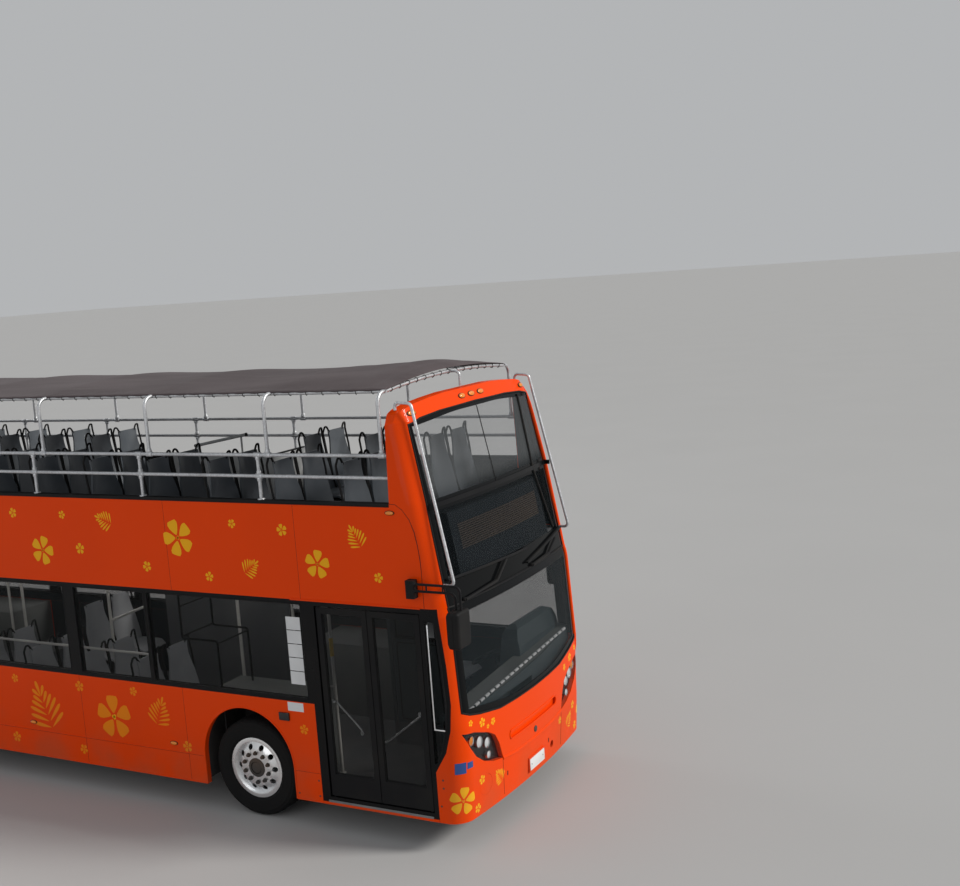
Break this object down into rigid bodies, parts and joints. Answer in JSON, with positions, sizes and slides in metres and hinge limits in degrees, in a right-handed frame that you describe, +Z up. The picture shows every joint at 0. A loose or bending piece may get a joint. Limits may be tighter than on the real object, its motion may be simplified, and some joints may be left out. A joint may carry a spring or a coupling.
{
  "type": "open top double decker bus",
  "caption": "Two-deck tour bus with an open upper deck, tube rails, a fabric canopy, a front door and steered front wheels.",
  "frame": {"origin": "on the ground under the middle of the overall box", "axes": "+X forwards, +Y to the left side of the bus, +Z up"},
  "size_m": [10.87, 2.88, 4.2371],
  "materials": {
    "orange_paint": "gloss paint",
    "black_gloss": "black gloss",
    "dark_metal": "chassis black",
    "tinted_glass": "tinted glass",
    "clear_glass": "clear glass",
    "galvanised": "galvanised tube",
    "canopy_fabric": "coated canopy fabric",
    "seat_plastic": "grey moulded plastic",
    "dash_plastic": "dark grey moulded plastic",
    "floor_sheet": "grey floor covering",
    "grey_panel": "light grey lining",
    "tyre_rubber": "black rubber",
    "polished_aluminium": "polished",
    "cast_iron": "painted casting",
    "lamp_black": "dark lamp unit",
    "lamp_red": "red lamp lens"
  },
  "bodies": {
    "body": {"front_apron": "orange_paint", "front_pillars": "orange_paint", "front_frame_upper": "orange_paint", "headlamps": "lamp_black", "front_glass": "clear_glass", "screen_bar": "black_gloss", "destination_box": "black_gloss", "door_frame": "black_gloss", "cab_window_frame": "black_gloss", "side_lower_right": "orange_paint", "side_lower_left": "orange_paint", "window_frame_right": "black_gloss", "window_frame_left": "black_gloss", "side_glass": "tinted_glass", "side_upper_right": "orange_paint", "side_upper_left": "orange_paint", "rear_lower": "orange_paint", "rear_upper": "orange_paint", "tail_lamps": "lamp_red", "lower_floor": "floor_sheet", "wheel_boxes": "grey_panel", "upper_floor": "floor_sheet", "bulkhead": "grey_panel", "staircase": "grey_panel", "stair_guard": "grey_panel", "underframe": "dark_metal", "underframe_rear": "dark_metal", "engine_block": "cast_iron", "front_axle": "dark_metal", "rear_axle": "dark_metal", "dashboard": "dash_plastic", "steering_column": "dash_plastic", "cab_partition": "grey_panel", "seat_pans": "seat_plastic", "seat_backs": "seat_plastic", "side_rails": "galvanised", "canopy_frame": "galvanised", "canopy": "canopy_fabric", "guard_hoops": "galvanised", "mirrors": "black_gloss"},
    "steer_right": {"knuckle_right": "cast_iron"},
    "steer_left": {"knuckle_left": "cast_iron"},
    "wheel_front_right": {"tyre_front_right": "tyre_rubber", "rim_front_right": "polished_aluminium"},
    "wheel_front_left": {"tyre_front_left": "tyre_rubber", "rim_front_left": "polished_aluminium"},
    "wheel_rear_right": {"tyres_rear_right": "tyre_rubber", "rims_rear_right": "polished_aluminium"},
    "wheel_rear_left": {"tyres_rear_left": "tyre_rubber", "rims_rear_left": "polished_aluminium"},
    "steering": {"steering_wheel": "dash_plastic"},
    "door_rear_leaf": {"door_leaf_rear": "black_gloss", "door_glass_rear": "tinted_glass"},
    "door_front_leaf": {"door_leaf_front": "black_gloss", "door_glass_front": "tinted_glass"},
    "hatch": {"engine_hatch": "orange_paint"},
    "cab_gate": {"cab_door": "grey_panel"}
  },
  "joints": [
    {"name": "steer_right_kingpin", "type": "hinge", "parent": "body", "child": "steer_right", "pos_m": [2.955, -1.092, 0.478], "axis": [0, 0, 1], "range_deg": [-40, 40]},
    {"name": "steer_left_kingpin", "type": "hinge", "parent": "body", "child": "steer_left", "pos_m": [2.955, 1.092, 0.478], "axis": [0, 0, 1], "range_deg": [-40, 40]},
    {"name": "steering_wheel_turn", "type": "hinge", "parent": "body", "child": "steering", "pos_m": [4.595, 0.64, 1.17], "axis": [-0.4226, 0, 0.9063], "range_deg": [-720, 720]},
    {"name": "wheel_front_right_spin", "type": "hinge", "parent": "steer_right", "child": "wheel_front_right", "pos_m": [2.955, -1.092, 0.478], "axis": [0, 1, 0], "continuous": true},
    {"name": "wheel_front_left_spin", "type": "hinge", "parent": "steer_left", "child": "wheel_front_left", "pos_m": [2.955, 1.092, 0.478], "axis": [0, 1, 0], "continuous": true},
    {"name": "wheel_rear_right_spin", "type": "hinge", "parent": "body", "child": "wheel_rear_right", "pos_m": [-2.845, -0.9295, 0.478], "axis": [0, 1, 0], "continuous": true},
    {"name": "wheel_rear_left_spin", "type": "hinge", "parent": "body", "child": "wheel_rear_left", "pos_m": [-2.845, 0.9295, 0.478], "axis": [0, 1, 0], "continuous": true},
    {"name": "door_rear_leaf_hinge", "type": "hinge", "parent": "body", "child": "door_rear_leaf", "pos_m": [3.888, -1.245, 1.25], "axis": [0, 0, 1], "range_deg": [0, 90]},
    {"name": "door_front_leaf_hinge", "type": "hinge", "parent": "body", "child": "door_front_leaf", "pos_m": [4.918, -1.245, 1.25], "axis": [0, 0, 1], "range_deg": [-90, 0]},
    {"name": "engine_hatch_hinge", "type": "hinge", "parent": "body", "child": "hatch", "pos_m": [-5.405, 0, 1.662], "axis": [0, 1, 0], "range_deg": [0, 80]},
    {"name": "cab_door_hinge", "type": "hinge", "parent": "body", "child": "cab_gate", "pos_m": [3.794, 0.0775, 1], "axis": [0, 0, 1], "range_deg": [-90, 0]}
  ],
  "couplings": [
    {"joint": "steer_left_kingpin", "follows": "steer_right_kingpin", "ratio": 1},
    {"joint": "steering_wheel_turn", "follows": "steer_right_kingpin", "ratio": 18}
  ]
}
